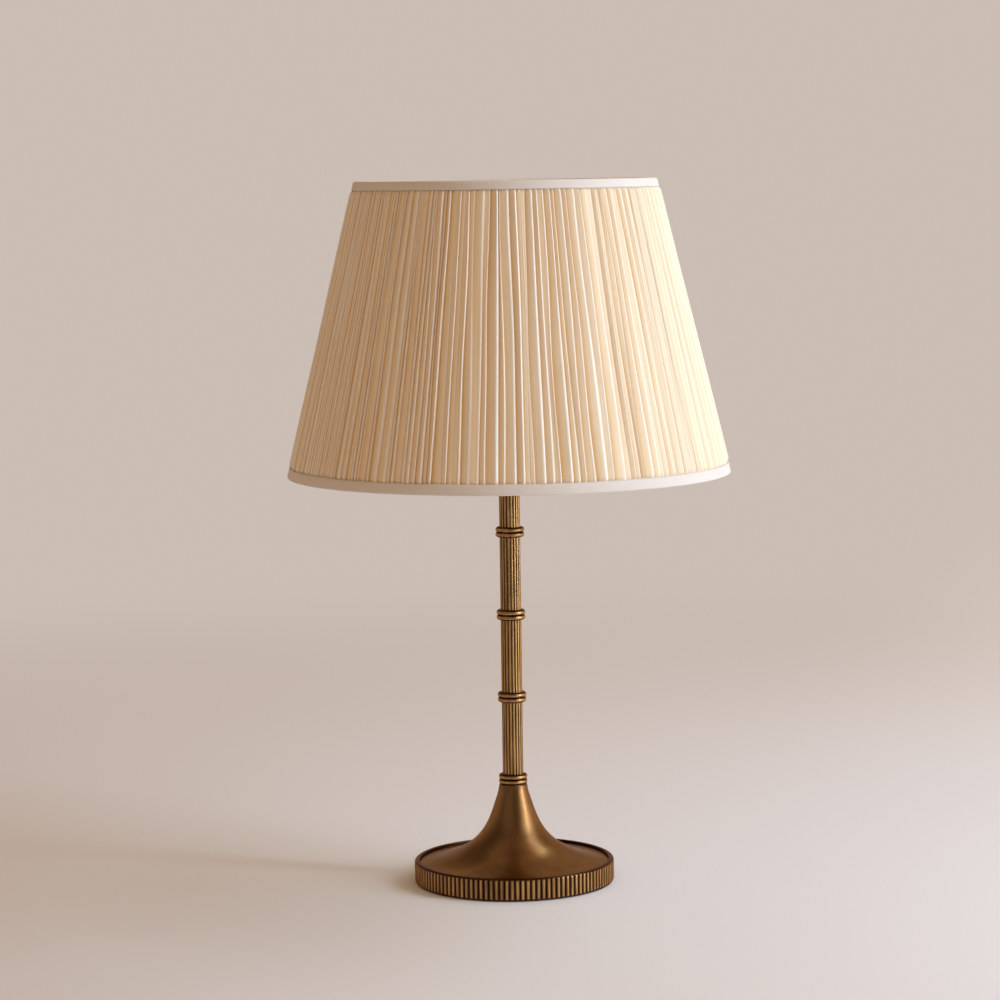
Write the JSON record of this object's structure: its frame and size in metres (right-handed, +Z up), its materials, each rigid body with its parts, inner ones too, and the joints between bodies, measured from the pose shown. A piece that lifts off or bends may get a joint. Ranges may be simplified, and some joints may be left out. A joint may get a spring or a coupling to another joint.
{
  "type": "candlestick lamp",
  "caption": "Table lamp with a ribbed brass foot, trumpet base, reeded stem with double-bead collars, and a pleated tapered shade on a harp.",
  "frame": {"origin": "centre of the underside of the felt pad, where the lamp stands", "axes": "+Z up along the stem, +Y to the back where the cord inlet is, +X to the right"},
  "size_m": [0.3996, 0.3996, 0.6375],
  "materials": {
    "aged_brass": "aged brass, satin, dark in the grooves and rubbed bright on the beads",
    "harp_brass": "lacquered brass plate",
    "zinc_steel": "zinc plated steel",
    "frame_wire": "white coated wire",
    "cast_iron": "rough cast",
    "cover_board": "black fibre board",
    "felt": "dark brown felt",
    "black_phenolic": "moulded phenolic",
    "liner_card": "insulating card",
    "contact_brass": "plain bright brass",
    "bulb_aluminium": "spun aluminium",
    "bulb_glass": "frosted glass",
    "stem_glass": "clear glass and wires",
    "shade_cloth": "gathered cream silk-like cloth, matt",
    "shade_tape": "cream bias tape, matt",
    "shade_lining": "off-white lining cloth, matt"
  },
  "bodies": {
    "root": {"felt_pad": "felt", "base_cover": "cover_board", "base_screws": "zinc_steel", "base_weight": "cast_iron", "foot_ring": "aged_brass", "cord_bushing": "black_phenolic", "trumpet": "aged_brass", "collar_1": "aged_brass", "collar_2": "aged_brass", "collar_3": "aged_brass", "collar_4": "aged_brass", "collar_5": "aged_brass", "stem_section_1": "aged_brass", "stem_section_2": "aged_brass", "stem_section_3": "aged_brass", "stem_section_4": "aged_brass", "centre_rod": "zinc_steel", "rod_washer": "zinc_steel", "rod_nut": "zinc_steel", "neck_cap": "aged_brass", "harp_saddle": "harp_brass", "neck_nut": "zinc_steel", "harp": "harp_brass", "holder_cap": "aged_brass", "holder_shell": "aged_brass", "holder_liner": "liner_card", "holder_body": "black_phenolic", "terminal_screws": "zinc_steel", "screw_shell": "contact_brass", "centre_contact": "contact_brass"},
    "swivel": {"harp_stud": "harp_brass"},
    "shade": {"shade_bottom_ring": "frame_wire", "shade_top_ring": "frame_wire", "shade_struts": "frame_wire", "spider": "frame_wire", "shade_lining": "shade_lining", "shade_cover": "shade_cloth", "shade_bottom_tape": "shade_tape", "shade_top_tape": "shade_tape"},
    "finial": {"finial": "aged_brass"},
    "switch": {"switch_knob": "aged_brass"},
    "bulb": {"bulb_glass": "bulb_glass", "bulb_cap": "bulb_aluminium", "bulb_contact": "black_phenolic", "bulb_stem": "stem_glass"},
    "sleeve_left": {"harp_sleeve_left": "harp_brass"},
    "sleeve_right": {"harp_sleeve_right": "harp_brass"}
  },
  "joints": [
    {"name": "shade_turn", "type": "hinge", "parent": "root", "child": "swivel", "pos_m": [0, 0, 0.604], "axis": [0, 0, 1], "continuous": true},
    {"name": "shade_lift", "type": "slide", "parent": "swivel", "child": "shade", "axis": [0, 0, 1], "range_m": [0, 0.24]},
    {"name": "finial_turn", "type": "hinge", "parent": "shade", "child": "finial", "pos_m": [0, 0, 0.62], "axis": [0, 0, 1], "continuous": true},
    {"name": "switch_turn", "type": "hinge", "parent": "root", "child": "switch", "pos_m": [0, -0.02, 0.441], "axis": [0, -1, 0], "continuous": true},
    {"name": "bulb_out", "type": "slide", "parent": "root", "child": "bulb", "axis": [0, 0, 1], "range_m": [0, 0.025]},
    {"name": "sleeve_left_lift", "type": "slide", "parent": "root", "child": "sleeve_left", "axis": [0, 0, 1], "range_m": [0, 0.012]},
    {"name": "sleeve_right_lift", "type": "slide", "parent": "root", "child": "sleeve_right", "axis": [0, 0, 1], "range_m": [0, 0.012]}
  ]
}
